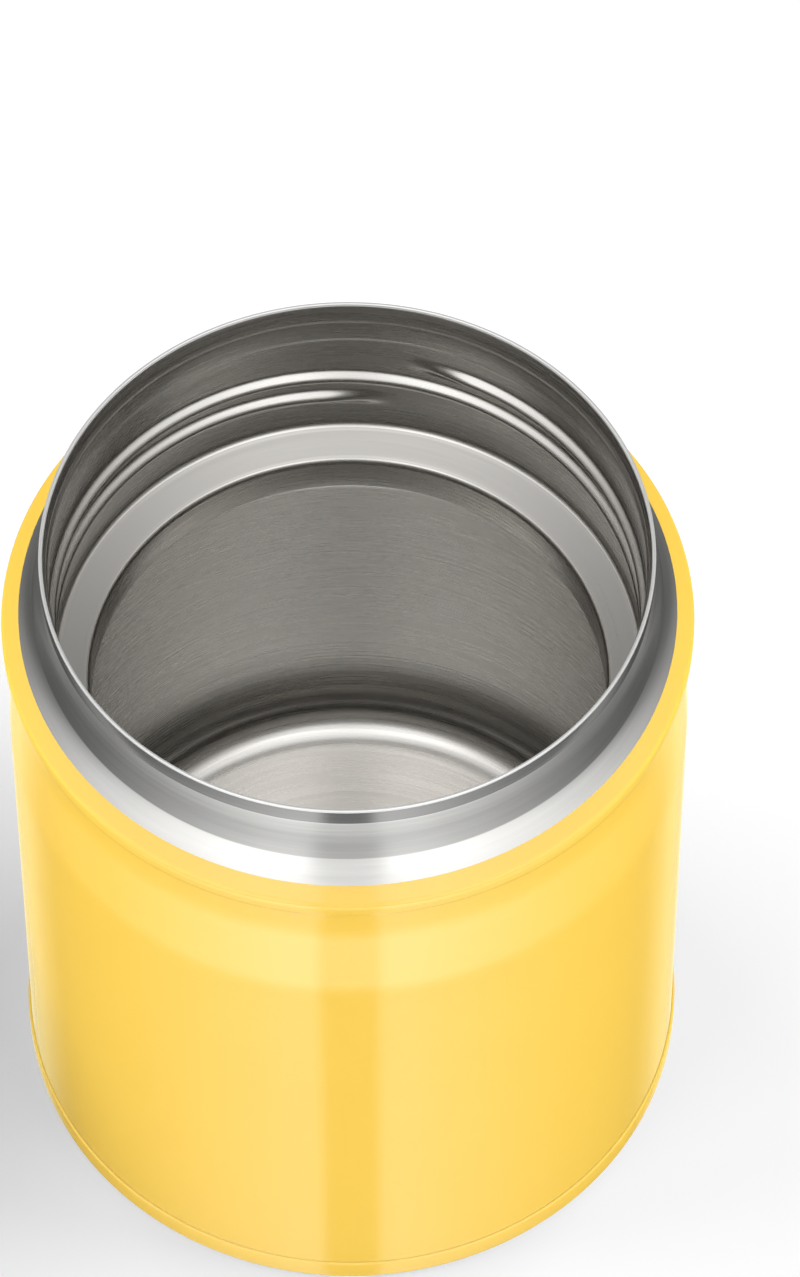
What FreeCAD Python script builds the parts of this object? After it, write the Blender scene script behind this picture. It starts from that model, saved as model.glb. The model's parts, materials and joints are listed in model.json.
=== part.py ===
import FreeCAD, Part
import Sketcher
import math
import os
import re
from FreeCAD import Placement, Rotation, Vector

# Insulated food jar with its screw-in lid taken off and laid top down beside it.
# The origin is the centre of the circle that the jar stands on, with +Z up its axis.
# Every lid piece is drawn where it sits when the jar is closed, about the same axis
# and against the same seats, and its placement then turns it over and sets it aside.

doc = FreeCAD.newDocument("FoodJar")
sheet = doc.addObject("Spreadsheet::Sheet", "Sizes")

# Driving sizes in millimetres, angles in degrees.
sizes = [
    ("steelWall", 0.4, "sheet of the two steel walls"),
    ("bodyRadius", 47.0, "straight painted wall"),
    ("bodyTop", 78.5, "end of the straight wall"),
    ("wallLift", 1.0, "lower edge of the outer wall above the ground"),
    ("waistDepth", 0.75, "how far the wall draws in to the waist"),
    ("waistTaper", 14.0, "height over which it draws in"),
    ("waistBand", 5.3, "straight band under the bead"),
    ("waistBlend", 70.0, "soft changes of that taper"),
    ("beadStand", 0.24, "how far the shoulder bead stands out from the wall"),
    ("beadUnder", 0.7, "slope under the bead"),
    ("beadHeight", 2.6, "height of the bead's edge"),
    ("beadFillet", 0.9, "rounds of the bead"),
    ("shoulderReach", 2.37, "painted shoulder, from the bead in to the steel"),
    ("shoulderRise", 1.35, "rise of the painted shoulder"),
    ("shoulderFillet", 1.6, "soft turn at the paint's edge"),
    ("neckRise", 3.55, "flared steel between the paint's edge and the neck"),
    ("neckFlare", 1.28, "how far the neck's foot stands out from the rim"),
    ("neckFillet", 0.9, "crease at the neck's foot"),
    ("neckHeight", 9.7, "neck above its foot"),
    ("rimBandHeight", 2.7, "straight band under the lip"),
    ("rimStep", 0.17, "how far the neck stands out below the rim band"),
    ("lipFillet", 0.5, "round of the lip"),
    ("weldGap", 0.12, "gap between the two walls at the welded rim"),
    ("jacketWidth", 6.3, "from the straight wall in to the mouth"),
    ("mouthDepth", 27.7, "from the lip down to the sealing ledge"),
    ("ledgeWidth", 5.1, "sealing ledge"),
    ("ledgeFall", 2.0, "how far the ledge slopes down to the throat"),
    ("ledgeFillet", 1.6, "round between ledge and mouth"),
    ("throatLength", 6.4, "straight throat under the ledge"),
    ("throatFillet", 1.3, "rounds at both ends of the throat"),
    ("vacuumWidth", 4.1, "from the straight wall in to the food space"),
    ("vesselShoulder", 8.0, "from the throat down to the food space's straight wall"),
    ("vesselFillet", 7.0, "rounds of the shoulder inside"),
    ("vesselFloor", 10.6, "floor of the food space"),
    ("floorFillet", 7.5, "round of the floor"),
    ("seamRise", 10.4, "weld between wall and floor above the floor"),
    ("baseFit", 0.02, "gap between the base cap and the wall that it holds"),
    ("baseHeight", 3.85, "skirt of the base cap"),
    ("footFillet", 0.6, "round of the bottom edge"),
    ("footWidth", 6.2, "foot ring that the jar stands on"),
    ("recessDepth", 3.4, "depth of the recess in the underside"),
    ("recessFillet", 1.2, "rounds of that recess"),
    ("portRadius", 1.6, "hole that the air is drawn out through"),
    ("portFit", 0.05, "gap round the seal in that hole"),
    ("sealRadius", 4.2, "drop that seals the hole"),
    ("sealDepth", 1.0, "how far the drop stands down"),
    ("plateWall", 0.8, "cover plate in the recess"),
    ("plateLift", 0.8, "cover plate above the surface that the jar stands on"),
    ("plateFit", 0.15, "gap round the cover plate"),
    ("plateRim", 1.6, "width of the cover plate's rim"),
    ("foilWall", 0.15, "heat shield foil"),
    ("foilFit", 0.12, "gap between foil and vessel"),
    ("foilRise", 0.6, "wrapped foil above the weld"),
    ("foilDrop", 7.0, "wrapped foil below the shoulder inside"),
    ("foilMargin", 0.4, "foil disc inside the floor's round"),
    ("getterRadius", 5.0, "getter pill"),
    ("getterThick", 2.2, "thickness of the getter pill"),
    ("getterOffset", 17.0, "getter's distance from the axis"),
    ("getterFit", 0.1, "gap round the getter pill"),
    ("clipWall", 0.3, "cup that holds the getter"),
    ("clipFlange", 2.2, "flange of that cup"),
    ("lidHeight", 18.1, "closed lid above the jar's lip"),
    ("lidSpace", 17.46, "how far the lid lies from the jar"),
    ("lidBack", 6.0, "how far behind the jar's axis it lies"),
    ("coverStand", 0.3, "how far the lid's skirt stands out from the straight wall"),
    ("coverDraft", 0.45, "how much the cover narrows to its top"),
    ("coverGap", 0.8, "gap between skirt and paint's edge"),
    ("coverWall", 2.1, "wall of the lid cover"),
    ("coverRound", 4.5, "round of the cover's top edge"),
    ("coverInnerRound", 2.4, "round inside that edge"),
    ("dishMargin", 11.3, "from the skirt in to the shallow dish"),
    ("dishDepth", 0.6, "depth of that dish"),
    ("ribHeight", 1.5, "ring rib over the stopper's flange"),
    ("ribReach", 1.5, "how far the ring rib overlaps the flange"),
    ("stopReach", 1.7, "how far the stop blocks stand in"),
    ("stopAngle", 6.0, "width of a stop block"),
    ("stopCount", 3, "number of stop blocks"),
    ("stopFit", 0.35, "gap round the stop blocks"),
    ("turnAngle", 35.0, "turn of the cover on the stopper"),
    ("notchSlack", 1.2, "spare angle at each end of a notch"),
    ("ringHeight", 1.8, "retaining ring"),
    ("ringReach", 2.7, "how far the retaining ring reaches in"),
    ("ringFit", 0.1, "gap between ring and cover"),
    ("flangeGap", 0.5, "gap between jar's lip and stopper's flange"),
    ("flangeThick", 2.0, "flange of the stopper"),
    ("flangeFit", 0.5, "gap between flange and cover"),
    ("turnPlay", 0.3, "play above and below the flange"),
    ("spigotDepth", 1.4, "spigot of the stopper's cap"),
    ("spigotWall", 1.2, "wall of that spigot"),
    ("spigotFit", 0.1, "gap round the cap where it enters the cup"),
    ("stopperFit", 1.2, "gap between stopper and mouth"),
    ("stopperWall", 2.1, "wall of the stopper"),
    ("seatLift", 2.8, "shoulder over the main gasket, above the ledge"),
    ("plugFit", 0.8, "gap between plug and throat"),
    ("plugLength", 6.7, "plug below that shoulder"),
    ("plugFillet", 2.6, "round of the plug's edge"),
    ("plugBead", 0.5, "bead that keeps the gasket on"),
    ("plugBeadHeight", 1.2, "height of that bead"),
    ("tubeWall", 2.52, "wall of the tube round the vent stem"),
    ("foamFit", 0.2, "gap round the foam"),
    ("gasketFit", 0.08, "gap between gasket and plug"),
    ("gasketPlay", 1.0, "gap between gasket and mouth"),
    ("gasketBody", 2.2, "height of the gasket's body"),
    ("gasketLip", 1.9, "how far its lip hangs below the body"),
    ("gasketLipWall", 1.1, "thickness of its lip"),
    ("gasketLipFlare", 0.7, "how far its lip leans out"),
    ("stemRadius", 2.6, "vent stem"),
    ("stemFit", 0.08, "running gap round the vent stem"),
    ("headReach", 3.8, "how far the stem's head reaches out"),
    ("headThick", 1.5, "thickness of that head"),
    ("ventSealThick", 1.3, "vent gasket"),
    ("ventSealReach", 0.6, "how far it reaches past the head"),
    ("ventSealFit", 0.1, "gap over the vent gasket"),
    ("ventTravel", 1.2, "how far the vent opens"),
    ("springLength", 6.0, "vent spring"),
    ("springGap", 1.9, "from the stem out to the middle of its wire"),
    ("springWire", 0.3, "radius of its wire"),
    ("springTurns", 4, "number of its turns"),
    ("capThick", 2.0, "thickness of the cap on the vent stem"),
    ("capMargin", 2.2, "cap outside the middle of its nubs"),
    ("capFit", 0.03, "gap between cap and stem"),
    ("nubRadius", 1.0, "nubs that the cam pushes on"),
    ("nubHeight", 1.1, "height of those nubs"),
    ("nubOffset", 6.0, "nubs' distance from the axis"),
    ("camGap", 0.4, "gap between nub and ramp"),
    ("camInside", 2.0, "cam ring inside the middle of the nubs"),
    ("camOutside", 2.6, "cam ring outside the middle of the nubs"),
    ("camWall", 1.1, "cam ring above its ramps"),
    ("camFit", 0.1, "gap between cam ring and cover"),
]
for row, (alias, value, note) in enumerate(sizes, start=1):
    sheet.set("A%d" % row, note)
    sheet.set("B%d" % row, str(value))
    sheet.setAlias("B%d" % row, alias)
doc.recompute()


# Radii and heights that follow from the driving sizes, each written once.
waist_radius = "bodyRadius - waistDepth"
waist_low = "bodyTop + waistTaper"
waist_high = waist_low + " + waistBand"
bead_radius = "bodyRadius + beadStand"
bead_low = waist_high + " + beadUnder"
bead_high = bead_low + " + beadHeight"
shoulder_radius = bead_radius + " - shoulderReach"
shoulder_height = bead_high + " + shoulderRise"
neck_foot = shoulder_height + " + neckRise"
rim_height = neck_foot + " + neckHeight"
mouth_radius = "bodyRadius - jacketWidth"
rim_radius = mouth_radius + " + 2 * steelWall + weldGap"
ledge_height = rim_height + " - mouthDepth"
throat_radius = mouth_radius + " - ledgeWidth"
throat_low = ledge_height + " - ledgeFall - throatLength"
vessel_radius = "bodyRadius - vacuumWidth"
vessel_top = throat_low + " - vesselShoulder"
vessel_seam = "vesselFloor + seamRise"
base_radius = "bodyRadius + baseFit + steelWall"
recess_radius = base_radius + " - footWidth"
lid_top = rim_height + " + lidHeight"
cover_radius = "bodyRadius + coverStand"
cover_low = shoulder_height + " + coverGap"
cover_bore = cover_radius + " - coverWall"
cover_ceiling = lid_top + " - dishDepth - coverWall"
flange_low = rim_height + " + flangeGap"
flange_high = flange_low + " + flangeThick"
flange_radius = cover_bore + " - flangeFit"
stopper_radius = mouth_radius + " - stopperFit"
stopper_bore = stopper_radius + " - stopperWall"
plug_radius = throat_radius + " - plugFit"
plug_bore = plug_radius + " - stopperWall"
gasket_seat = ledge_height + " + seatLift"
gasket_low = gasket_seat + " - gasketBody"
plug_bottom = gasket_seat + " - plugLength"
plug_floor = plug_bottom + " + stopperWall"
stem_bore = "stemRadius + stemFit"
tube_radius = stem_bore + " + tubeWall"
head_radius = "stemRadius + headReach"
vent_seal_high = plug_bottom + " - ventSealFit"
vent_seal_low = vent_seal_high + " - ventSealThick"
vent_cap_low = flange_high + " + springLength"
vent_cap_high = vent_cap_low + " + capThick"
nub_top = vent_cap_high + " + nubHeight"
lid_aside = bead_radius + " + " + cover_radius + " + lidSpace"



# One factor of a size: a number, a name from the sheet, or the sine of a named angle.
def factor_value(name):
    if name[0].isdigit():
        return float(name)
    if name.startswith("sin("):
        return math.sin(math.radians(getattr(sheet, name[4:-1])))
    return float(getattr(sheet, name))


# A size is written as a sum of names and numbers, such as "bodyRadius - 2 * steelWall".
def amount(text):
    total = 0.0
    for term in text.replace("-", "+-").split("+"):
        term = term.strip()
        if not term:
            continue
        product = -1.0 if term.startswith("-") else 1.0
        for name in term.lstrip("-").split("*"):
            product *= factor_value(name.strip())
        total += product
    return total


# The same size as an expression on the sheet.
def bound(text):
    return re.sub(r"[A-Za-z]\w*(?![\w(])", r"Sizes.\g<0>", text)


def plane(body, role):
    return next(item for item in body.Origin.OriginFeatures if item.Role == role)


def new_body(label):
    body = doc.addObject("PartDesign::Body", label)
    body.Label = label
    return body


def new_sketch(body, name, role="XZ_Plane", offset=None):
    sketch = body.newObject("Sketcher::SketchObject", body.Label + "_" + name)
    sketch.AttachmentSupport = [(plane(body, role), "")]
    sketch.MapMode = "FlatFace"
    if offset:
        sketch.AttachmentOffset = offset
    return sketch


def drive(sketch, kind, *where, to):
    index = sketch.addConstraint(Sketcher.Constraint(kind, *where, amount(to)))
    sketch.setExpression("Constraints[%d]" % index, bound(to))


# Puts a point of the sketch at a radius and a height.
def pin_down(sketch, point, radius, height):
    if str(radius) == "0":
        sketch.addConstraint(Sketcher.Constraint("PointOnObject", point, 1, -2))
    else:
        drive(sketch, "DistanceX", -1, 1, point, 1, to=radius)
    if str(height) == "0":
        sketch.addConstraint(Sketcher.Constraint("PointOnObject", point, 1, -1))
    else:
        drive(sketch, "DistanceY", -1, 1, point, 1, to=height)


# Draws a closed outline through sharp corners, each with an optional round.
# spots are the corners' places and rounds their radii. The point and line numbers come back.
def draw_loop(sketch, spots, rounds):
    count = len(spots)
    points = [sketch.addGeometry(Part.Point(spot), True) for spot in spots]
    starts, ends, arcs = [], [], []
    for i, spot in enumerate(spots):
        before = (spots[i - 1] - spot).normalize()
        after = (spots[(i + 1) % count] - spot).normalize()
        radius = amount(rounds[i])
        if radius <= 0:
            starts.append(spot)
            ends.append(spot)
            arcs.append(None)
            continue
        half = before.getAngle(after) / 2
        reach = radius / math.tan(half)
        centre = spot + (before + after).normalize() * (radius / math.sin(half))
        first = spot + before * reach
        last = spot + after * reach
        ends.append(first)
        starts.append(last)
        turns_left = before.cross(after).z < 0
        low, high = (first, last) if turns_left else (last, first)
        low_angle = math.atan2(low.y - centre.y, low.x - centre.x)
        high_angle = math.atan2(high.y - centre.y, high.x - centre.x)
        circle = Part.Circle(centre, Vector(0, 0, 1), radius)
        arcs.append((Part.ArcOfCircle(circle, low_angle, high_angle), turns_left))
    lines = []
    for i in range(count):
        lines.append(sketch.addGeometry(Part.LineSegment(starts[i], ends[(i + 1) % count])))
    for i in range(count):
        if arcs[i] is None:
            sketch.addConstraint(Sketcher.Constraint("Coincident", lines[i - 1], 2, points[i], 1))
            sketch.addConstraint(Sketcher.Constraint("Coincident", lines[i], 1, points[i], 1))
            continue
        curve, turns_left = arcs[i]
        arc = sketch.addGeometry(curve)
        near, far = (1, 2) if turns_left else (2, 1)
        sketch.addConstraint(Sketcher.Constraint("Tangent", lines[i - 1], 2, arc, near))
        sketch.addConstraint(Sketcher.Constraint("Tangent", lines[i], 1, arc, far))
        sketch.addConstraint(Sketcher.Constraint("PointOnObject", points[i], 1, lines[i - 1]))
        sketch.addConstraint(Sketcher.Constraint("PointOnObject", points[i], 1, lines[i]))
        drive(sketch, "Radius", arc, to=rounds[i])
    return points, lines


# Corners are (radius, height) or (radius, height, round).
def draw_outline(sketch, corners):
    spots = [Vector(amount(corner[0]), amount(corner[1]), 0) for corner in corners]
    rounds = [corner[2] if len(corner) > 2 else "0" for corner in corners]
    points, lines = draw_loop(sketch, spots, rounds)
    for point, corner in zip(points, corners):
        pin_down(sketch, point, corner[0], corner[1])


# Draws a sheet of even thickness along a path whose end runs are level or upright.
# The second side lies to the left of the path's direction.
def draw_sheet(sketch, path, wall):
    thick = amount(wall)
    near = [Vector(amount(corner[0]), amount(corner[1]), 0) for corner in path]
    count = len(near)
    across = []
    for i in range(count - 1):
        run = (near[i + 1] - near[i]).normalize()
        across.append(Vector(-run.y, run.x, 0))
    far = [near[0] + across[0] * thick]
    for i in range(1, count - 1):
        middle = (across[i - 1] + across[i]).normalize()
        far.append(near[i] + middle * (thick / middle.dot(across[i])))
    far.append(near[-1] + across[-1] * thick)
    near_rounds = [corner[2] if len(corner) > 2 else "0" for corner in path]
    far_rounds = []
    for i, size in enumerate(near_rounds):
        if size == "0":
            far_rounds.append("0")
        elif across[i - 1].cross(across[i]).z > 0:
            far_rounds.append(size + " - " + wall)
        else:
            far_rounds.append(size + " + " + wall)
    points, lines = draw_loop(sketch, near + far[::-1], near_rounds + far_rounds[::-1])
    for point, corner in zip(points, path):
        pin_down(sketch, point, corner[0], corner[1])
    mates = points[count:][::-1]
    for i in range(count - 1):
        drive(sketch, "Distance", mates[i], 1, lines[i], to=wall)
        if i > 0:
            drive(sketch, "Distance", mates[i], 1, lines[i - 1], to=wall)
    drive(sketch, "Distance", mates[-1], 1, lines[count - 2], to=wall)
    for i, run in ((0, across[0]), (count - 1, across[-1])):
        level = "Horizontal" if abs(run.x) > abs(run.y) else "Vertical"
        sketch.addConstraint(Sketcher.Constraint(level, points[i], 1, mates[i], 1))


def spin(body, sketch, kind="Revolution", angle=None):
    turn = body.newObject("PartDesign::" + kind, sketch.Name + "_turn")
    turn.Profile = sketch
    turn.ReferenceAxis = (sketch, ["V_Axis"])
    turn.Angle = 360.0
    if angle:
        turn.Midplane = True
        turn.setExpression("Angle", bound(angle))
    sketch.Visibility = False
    return turn


def turned_piece(label, corners):
    body = new_body(label)
    sketch = new_sketch(body, "outline")
    draw_outline(sketch, corners)
    spin(body, sketch)
    return body


def sheet_piece(label, path, wall="steelWall"):
    body = new_body(label)
    sketch = new_sketch(body, "outline")
    draw_sheet(sketch, path, wall)
    spin(body, sketch)
    return body


# Repeats a feature of a body evenly round the axis.
def repeat_round(body, feature, count):
    doc.recompute()
    pattern = body.newObject("PartDesign::PolarPattern", feature.Name + "_round")
    pattern.Originals = [feature]
    pattern.Axis = (plane(body, "Z_Axis"), [""])
    pattern.Angle = 360.0
    pattern.setExpression("Occurrences", bound(count))
    body.Tip = pattern
    return pattern


def turned_about_axis(angle):
    return Placement(Vector(0, 0, 0), Rotation(Vector(0, 1, 0), angle))


# Turns a closed lid piece over and lays it beside the jar.
def lay_aside(body):
    upside_down = Rotation(Vector(1, 0, 0), 180)
    spot = Vector(-amount(lid_aside), amount("lidBack"), amount(lid_top))
    body.Placement = Placement(spot, upside_down)
    body.setExpression("Placement.Base.x", "-(" + bound(lid_aside) + ")")
    body.setExpression("Placement.Base.y", bound("lidBack"))
    body.setExpression("Placement.Base.z", bound(lid_top))
    return body


# The outer wall is one drawn shell: straight wall, waist, shoulder bead and bare neck.
def make_outer_shell():
    band_low = rim_height + " - steelWall - rimBandHeight"
    return sheet_piece("outer_shell", [
        ("bodyRadius", "wallLift"),
        ("bodyRadius", "bodyTop", "waistBlend"),
        (waist_radius, waist_low, "waistBlend"),
        (waist_radius, waist_high, "beadFillet"),
        (bead_radius, bead_low, "beadFillet"),
        (bead_radius, bead_high, "beadFillet"),
        (shoulder_radius, shoulder_height, "shoulderFillet"),
        (rim_radius + " + neckFlare", neck_foot, "neckFillet"),
        (rim_radius + " + rimStep", band_low + " - 2 * rimStep", "neckFillet"),
        (rim_radius, band_low),
        (rim_radius, rim_height + " - steelWall"),
    ])


# The base cap holds the wall in its skirt, turns in to the foot ring and has a recessed floor.
def make_outer_bottom():
    return sheet_piece("outer_bottom", [
        ("portRadius", "recessDepth"),
        (recess_radius, "recessDepth", "recessFillet"),
        (recess_radius, "0", "recessFillet"),
        (base_radius, "0", "footFillet"),
        (base_radius, "baseHeight"),
    ])


# The drop of hard solder that closes the evacuation port.
def make_vacuum_seal():
    return turned_piece("vacuum_seal", [
        ("0", "recessDepth - sealDepth"),
        ("sealRadius", "recessDepth - sealDepth", "sealDepth * 0.7"),
        ("sealRadius", "recessDepth"),
        ("portRadius - portFit", "recessDepth"),
        ("portRadius - portFit", "recessDepth + steelWall"),
        ("0", "recessDepth + steelWall"),
    ])


def make_bottom_plate():
    edge = recess_radius + " - plateFit"
    return turned_piece("bottom_plate", [
        ("0", "plateLift"),
        (edge, "plateLift", "plateWall * 0.6"),
        (edge, "recessDepth - recessFillet"),
        (edge + " - plateRim", "recessDepth - plateFit"),
        (edge + " - plateRim", "plateLift + plateWall", "plateWall * 0.5"),
        ("0", "plateLift + plateWall"),
    ])


# The vessel's wall runs from the weld at the floor up through throat, ledge and mouth,
# and its lip turns over the edge of the outer wall.
def make_inner_vessel():
    return sheet_piece("inner_vessel", [
        (rim_radius, rim_height),
        (mouth_radius, rim_height, "lipFillet"),
        (mouth_radius, ledge_height, "ledgeFillet"),
        (throat_radius, ledge_height + " - ledgeFall", "throatFillet"),
        (throat_radius, throat_low, "throatFillet"),
        (vessel_radius, vessel_top, "vesselFillet"),
        (vessel_radius, vessel_seam),
    ])


def make_inner_bottom():
    return sheet_piece("inner_bottom", [
        (vessel_radius, vessel_seam),
        (vessel_radius, "vesselFloor", "floorFillet"),
        ("0", "vesselFloor"),
    ])


def make_side_foil():
    inside = vessel_radius + " + steelWall + foilFit"
    return turned_piece("side_foil", [
        (inside, vessel_seam + " + foilRise"),
        (inside + " + foilWall", vessel_seam + " + foilRise"),
        (inside + " + foilWall", vessel_top + " - foilDrop"),
        (inside, vessel_top + " - foilDrop"),
    ])


def make_bottom_foil():
    upper = "vesselFloor - steelWall - foilFit"
    edge = vessel_radius + " - floorFillet - foilMargin"
    return turned_piece("bottom_foil", [
        ("0", upper + " - foilWall"),
        (edge, upper + " - foilWall"),
        (edge, upper),
        ("0", upper),
    ])


# The getter pill stands on the base cap's floor, inside the vacuum.
def place_getter(body):
    body.Placement = Placement(Vector(amount("getterOffset"), 0, 0), Rotation())
    body.setExpression("Placement.Base.x", bound("getterOffset"))
    return body


def make_getter():
    return place_getter(turned_piece("getter", [
        ("0", "recessDepth + steelWall"),
        ("getterRadius", "recessDepth + steelWall"),
        ("getterRadius", "recessDepth + steelWall + getterThick", "getterThick * 0.2"),
        ("0", "recessDepth + steelWall + getterThick"),
    ]))


# A pressed cap with a flange holds the getter down.
def make_getter_clip():
    bore = "getterRadius + getterFit"
    floor = "recessDepth + steelWall"
    top = floor + " + getterThick + getterFit"
    return place_getter(turned_piece("getter_clip", [
        (bore, floor),
        (bore + " + clipFlange", floor),
        (bore + " + clipFlange", floor + " + clipWall"),
        (bore + " + clipWall", floor + " + clipWall"),
        (bore + " + clipWall", top + " + clipWall", "clipWall * 1.4"),
        ("getterRadius * 0.4", top + " + clipWall"),
        ("getterRadius * 0.4", top),
        (bore, top),
    ]))


def make_lid_cover():
    rib_low = flange_high + " + turnPlay"
    rib_radius = flange_radius + " - ribReach"
    body = turned_piece("lid_cover", [
        ("0", lid_top + " - dishDepth"),
        (cover_radius + " - dishMargin - dishDepth", lid_top + " - dishDepth"),
        (cover_radius + " - dishMargin", lid_top),
        (cover_radius + " - coverDraft", lid_top, "coverRound"),
        (cover_radius, cover_low, "coverWall * 0.3"),
        (cover_bore, cover_low, "coverWall * 0.3"),
        (cover_bore, rib_low),
        (rib_radius, rib_low),
        (rib_radius, rib_low + " + ribHeight"),
        (cover_bore + " - coverDraft", rib_low + " + ribHeight"),
        (cover_bore + " - coverDraft", cover_ceiling, "coverInnerRound"),
        ("0", cover_ceiling),
    ])
    sketch = new_sketch(body, "stop")
    draw_outline(sketch, [
        (flange_radius + " - stopReach", flange_low),
        (cover_bore + " + coverWall * 0.5", flange_low),
        (cover_bore + " + coverWall * 0.5", rib_low + " + ribHeight * 0.5"),
        (flange_radius + " - stopReach", rib_low + " + ribHeight * 0.5"),
    ])
    stop = spin(body, sketch, angle="stopAngle")
    repeat_round(body, stop, "stopCount")
    return lay_aside(body)


def make_retaining_ring():
    top = flange_low + " - turnPlay"
    edge = cover_bore + " - ringFit"
    inner = cover_bore + " - ringReach"
    return lay_aside(turned_piece("retaining_ring", [
        (inner, top + " - ringHeight", "ringHeight * 0.3"),
        (edge, top + " - ringHeight", "ringHeight * 0.2"),
        (edge, top),
        (inner, top),
    ]))


# The cam under the cover has two ramps, which press the vent open as the cover turns.
def make_vent_cam():
    ring_low = nub_top + " + camGap + ventTravel * 0.5"
    inner = "nubOffset - camInside"
    outer = "nubOffset + camOutside"
    body = turned_piece("vent_cam", [
        (inner, ring_low),
        (outer, ring_low, "camWall * 0.4"),
        (outer, cover_ceiling + " - camFit"),
        (inner, cover_ceiling + " - camFit"),
    ])
    run_end = "nubOffset * sin(turnAngle) + nubRadius"
    ramp_edge = outer + " - camWall * 0.4"
    ramp = new_sketch(body, "ramp", offset=Placement(Vector(0, 0, -amount(ramp_edge)), Rotation()))
    ramp.setExpression("AttachmentOffset.Base.z", "-(" + bound(ramp_edge) + ")")
    draw_outline(ramp, [
        ("nubRadius", nub_top + " + camGap"),
        (run_end, nub_top + " + camGap - ventTravel"),
        (run_end + " + nubRadius", nub_top + " + camGap - ventTravel"),
        (run_end + " + nubRadius", ring_low + " + camWall * 0.5"),
        ("nubRadius", ring_low + " + camWall * 0.5"),
    ])
    pad = body.newObject("PartDesign::Pad", "vent_cam_ramp_pad")
    pad.Profile = ramp
    pad.setExpression("Length", bound("camInside + camOutside - camWall * 0.4"))
    repeat_round(body, pad, "2")
    return lay_aside(body)


# The stopper is a cup that screws into the mouth, with a plug for the throat
# and a tube for the vent stem.
def make_stopper():
    gasket_bead = gasket_low + " - gasketFit"
    round_inside = "stopperWall * 0.5"
    return lay_aside(turned_piece("stopper", [
        (stem_bore, plug_bottom),
        (plug_radius, plug_bottom, "plugFillet"),
        (plug_radius, gasket_bead + " - plugBeadHeight"),
        (plug_radius + " + plugBead", gasket_bead + " - plugBeadHeight * 0.5"),
        (plug_radius, gasket_bead),
        (plug_radius, gasket_seat),
        (stopper_radius, gasket_seat, "stopperWall * 0.3"),
        (stopper_radius, flange_low),
        (stopper_bore, flange_low),
        (stopper_bore, gasket_seat + " + stopperWall", round_inside),
        (plug_bore, gasket_seat + " + stopperWall", round_inside),
        (plug_bore, plug_floor, round_inside),
        (tube_radius, plug_floor),
        (tube_radius, flange_high),
        (stem_bore, flange_high),
    ]))


# The cap closes the cup over the foam, and its flange turns between the cover's rib
# and the retaining ring. Notches in the flange leave room for the cover's stop blocks.
def make_stopper_cap():
    edge = stopper_bore + " - spigotFit"
    body = turned_piece("stopper_cap", [
        (tube_radius + " + spigotFit", flange_low),
        (edge + " - spigotWall", flange_low),
        (edge + " - spigotWall", flange_low + " - spigotDepth"),
        (edge, flange_low + " - spigotDepth", "spigotWall * 0.3"),
        (edge, flange_low),
        (flange_radius, flange_low),
        (flange_radius, flange_high, "flangeThick * 0.3"),
        (tube_radius + " + spigotFit", flange_high),
    ])
    notch_radius = flange_radius + " - stopReach - stopFit"
    middle = amount("turnAngle") * 0.5
    notch = new_sketch(body, "notch", offset=turned_about_axis(middle))
    notch.setExpression("AttachmentOffset.Rotation.Angle", bound("turnAngle") + " * 0.5")
    draw_outline(notch, [
        (notch_radius, flange_low + " - flangeGap"),
        (cover_radius, flange_low + " - flangeGap"),
        (cover_radius, flange_high + " + flangeGap"),
        (notch_radius, flange_high + " + flangeGap"),
    ])
    doc.recompute()
    cut = spin(body, notch, "Groove", angle="turnAngle + stopAngle + 2 * notchSlack")
    repeat_round(body, cut, "stopCount")
    return lay_aside(body)


def make_lid_foam():
    step = gasket_seat + " + stopperWall + foamFit"
    inner = tube_radius + " + foamFit"
    narrow = stopper_bore + " - spigotFit - spigotWall - foamFit"
    return lay_aside(turned_piece("lid_foam", [
        (inner, plug_floor + " + foamFit"),
        (plug_bore + " - foamFit", plug_floor + " + foamFit", "stopperWall"),
        (plug_bore + " - foamFit", step),
        (stopper_bore + " - foamFit", step, "stopperWall"),
        (stopper_bore + " - foamFit", flange_low + " - spigotDepth - foamFit"),
        (narrow, flange_low + " - spigotDepth - foamFit"),
        (narrow, flange_low + " - foamFit"),
        (inner, flange_low + " - foamFit"),
    ]))


# The gasket's lip leans out and down, to press on the ledge of the mouth.
def make_main_gasket():
    top = gasket_seat + " - gasketFit"
    tip = gasket_low + " - gasketLip"
    lip_radius = mouth_radius + " - gasketPlay"
    outer = lip_radius + " - gasketLipFlare"
    return lay_aside(turned_piece("main_gasket", [
        (plug_radius + " + plugBead + gasketFit", gasket_low),
        (outer + " - gasketLipWall", gasket_low, "gasketLipWall * 0.4"),
        (lip_radius + " - gasketLipWall", tip, "gasketLipWall * 0.3"),
        (lip_radius, tip, "gasketLipWall * 0.4"),
        (outer, gasket_low, "gasketLipWall"),
        (outer, top, "gasketLipWall * 0.4"),
        (plug_radius + " + gasketFit", top),
        (plug_radius + " + gasketFit", gasket_low + " + plugBead"),
    ]))


def make_vent_stem():
    return lay_aside(turned_piece("vent_stem", [
        ("0", vent_seal_low + " - headThick"),
        (head_radius, vent_seal_low + " - headThick", "headThick * 0.6"),
        (head_radius, vent_seal_low),
        ("stemRadius", vent_seal_low),
        ("stemRadius", vent_cap_high),
        ("0", vent_cap_high),
    ]))


def make_vent_gasket():
    edge = head_radius + " + ventSealReach"
    return lay_aside(turned_piece("vent_gasket", [
        (stem_bore, vent_seal_low),
        (edge, vent_seal_low, "ventSealThick * 0.3"),
        (edge, vent_seal_high, "ventSealThick * 0.3"),
        (stem_bore, vent_seal_high),
    ]))


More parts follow.
